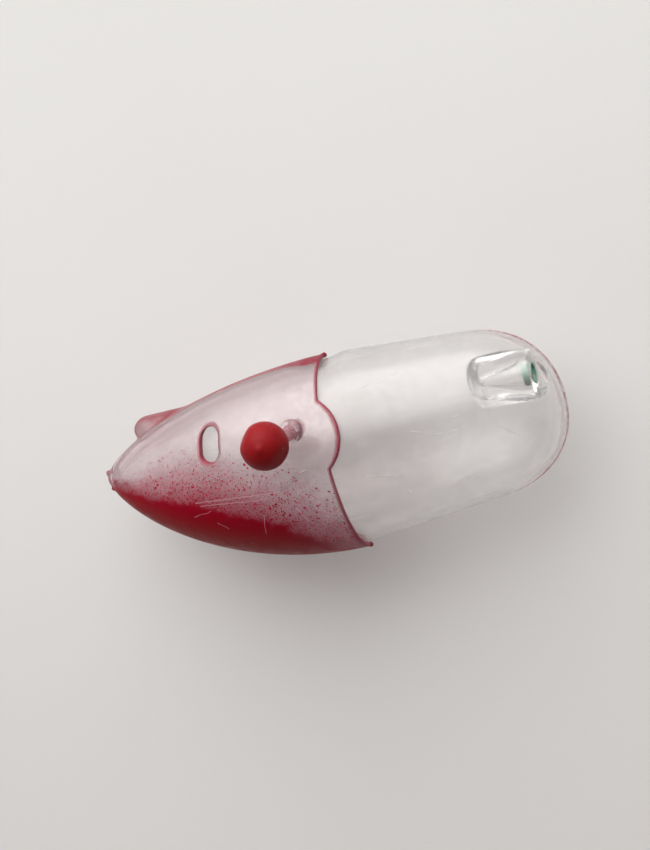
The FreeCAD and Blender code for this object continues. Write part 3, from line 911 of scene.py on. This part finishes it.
def make_pieces():
    made, p = surface("painted_cap", cap_field, *CAP_BOX, CAP_STEP)
    depth = -CAP_OUTSIDE.field(*p.T)
    attribute(made, "paint", paint_depth(p))
    attribute(made, "outside", np.clip(1 - depth / CAP_SKIN, 0, 1))
    attribute(made, "edge", edge_share(p, depth))
    attribute(made, "brim", brim_share(p))
    show(made, "float_body", "sprayed_clear_plastic", sprayed_plastic(), "nose_cap")
    made, p = surface("clear_capsule", shell_field, *SHELL_BOX, SHELL_STEP)
    attribute(made, "outside", np.clip(1 + SHELL_OUTSIDE.field(*p.T) / SHELL_SKIN, 0, 1))
    show(made, "float_body", "clear_plastic", clear_plastic(), "plug_side_shell", "plain_side_shell")
    middle = np.array((SOCKET_MOUTH_X - FERRULE_LENGTH / 2, SOCKET_Y, SOCKET_Z))
    made = piece_round("corroded_ferrule", ferrule_field, middle, FERRULE_REACH, FERRULE_STEP)
    show(made, "float_body", "tarnished_brass", tarnished_brass(), "socket_ferrule")
    made = piece_round("moulded_ball", ball_field, BALL_CENTRE, BALL_REACH, BALL_STEP)
    show(made, "plug", "red_plastic", red_plastic(), "plug_ball")
    middle = PLUG_FOOT + PLUG_AXIS * STEM_MIDDLE
    made = piece_round("pink_stem", stem_field, middle, STEM_REACH, STEM_STEP)
    show(made, "plug", "pink_plastic", pink_plastic(), "plug_stem")
    show(make_flash(), "float_body", "clear_plastic", stained_plastic())


make_pieces()

# ---- floor, light and camera -----------------------------------------------------------------

FLOOR_REACH, FLOOR_SIDES = 3.0, 64
DAYLIGHT = (1.0, 0.985, 0.965, 1)
ROOM_DARK, ROOM_LIGHT, CEILING_SHARE, BACKDROP = 0.10, 0.70, 0.5, 0.72
# the room brightens towards the back between two values of the direction's y, and dims
# towards the ceiling between two of its z
ROOM_Y, CEILING_Z = (-0.45, 0.7), (0.6, 0.96)
WINDOW_WAY, WINDOW_EDGE, WINDOW_CORE, WINDOW_LIGHT = (-0.10, 0.80, 0.56), 0.68, 1.0, 3.7
LAMP_AT, LAMP_SIZE, LAMP_POWER = (-0.5, 0.6, 1.5), 1.0, 3.6
CAMERA_RIGHT = Vector((0.9388, -0.2426, -0.2446))
CAMERA_UP = Vector((0.2236, 0.969, -0.103))
CAMERA_AWAY, SENSOR_WIDTH = 1.2, 36.0
VIEW_HEIGHT = 0.1445
LOOK_RIGHT, LOOK_UP = -0.00391, 0.00417


def make_floor():
    mesh = bpy.data.meshes.new("table")
    turns = np.linspace(0, 2 * math.pi, FLOOR_SIDES + 1)[:-1]
    ring = [(FLOOR_REACH * math.cos(a), FLOOR_REACH * math.sin(a), 0) for a in turns]
    mesh.from_pydata(ring, [], [tuple(range(FLOOR_SIDES))])
    table = add("table", mesh)
    mesh.materials.append(table_top())


def make_lamp():
    data = bpy.data.lights.new("overhead", "AREA")
    data.shape = "RECTANGLE"
    data.size, data.size_y = LAMP_SIZE, LAMP_SIZE
    data.energy = LAMP_POWER
    lamp = add("overhead", data)
    lamp.location = LAMP_AT
    lamp.rotation_euler = (-Vector(LAMP_AT)).to_track_quat("-Z", "Y").to_euler()


def make_world():
    """Bright wall and window beyond the back, a dim room on the belly's side and a dim ceiling."""
    world = bpy.data.worlds.new("studio")
    bpy.context.scene.world = world
    world.use_nodes = True
    tree = world.node_tree

    def ramp(value, span, low, high):
        return add_node(tree, "ShaderNodeMapRange", interpolation_type="SMOOTHSTEP", Value=value,
                        _1=span[0], _2=span[1], _3=low, _4=high)

    way = add_node(tree, "ShaderNodeTexCoord")
    room = ramp(add_node(tree, "ShaderNodeSeparateXYZ", 1, _0=way), ROOM_Y, ROOM_DARK, ROOM_LIGHT)
    ceiling = ramp(add_node(tree, "ShaderNodeSeparateXYZ", 2, _0=way), CEILING_Z, 1.0, CEILING_SHARE)
    room = add_node(tree, "ShaderNodeMath", operation="MULTIPLY", _0=room, _1=ceiling)
    toward = add_node(tree, "ShaderNodeVectorMath", 1, operation="DOT_PRODUCT", _0=way,
                      _1=tuple(Vector(WINDOW_WAY).normalized()))
    window = ramp(toward, (WINDOW_EDGE, WINDOW_CORE), 0.0, WINDOW_LIGHT)
    light = add_node(tree, "ShaderNodeMath", operation="ADD", _0=room, _1=window)
    seen = add_node(tree, "ShaderNodeLightPath")
    strength = add_node(tree, "ShaderNodeMix", data_type="FLOAT", _0=seen, _2=light, _3=BACKDROP)
    background = tree.nodes["Background"]
    background.inputs["Color"].default_value = DAYLIGHT
    tree.links.new(strength, background.inputs["Strength"])


def make_camera():
    data = bpy.data.cameras.new("camera")
    camera = add("camera", data)
    right = CAMERA_RIGHT.normalized()
    up = (CAMERA_UP - right * CAMERA_UP.dot(right)).normalized()
    back = right.cross(up)
    rim = Vector(place((0, AXIS_Y, 0)))
    look = rim + right * LOOK_RIGHT + up * LOOK_UP
    turn = Matrix((right, up, back)).transposed().to_4x4()
    camera.matrix_world = Matrix.Translation(look + back * CAMERA_AWAY) @ turn
    data.sensor_width = SENSOR_WIDTH
    data.lens = SENSOR_WIDTH * CAMERA_AWAY / VIEW_HEIGHT
    data.clip_start = 0.01
    bpy.context.scene.camera = camera


make_floor()
make_world()
make_lamp()
make_camera()
bpy.context.scene.view_settings.view_transform = "Standard"
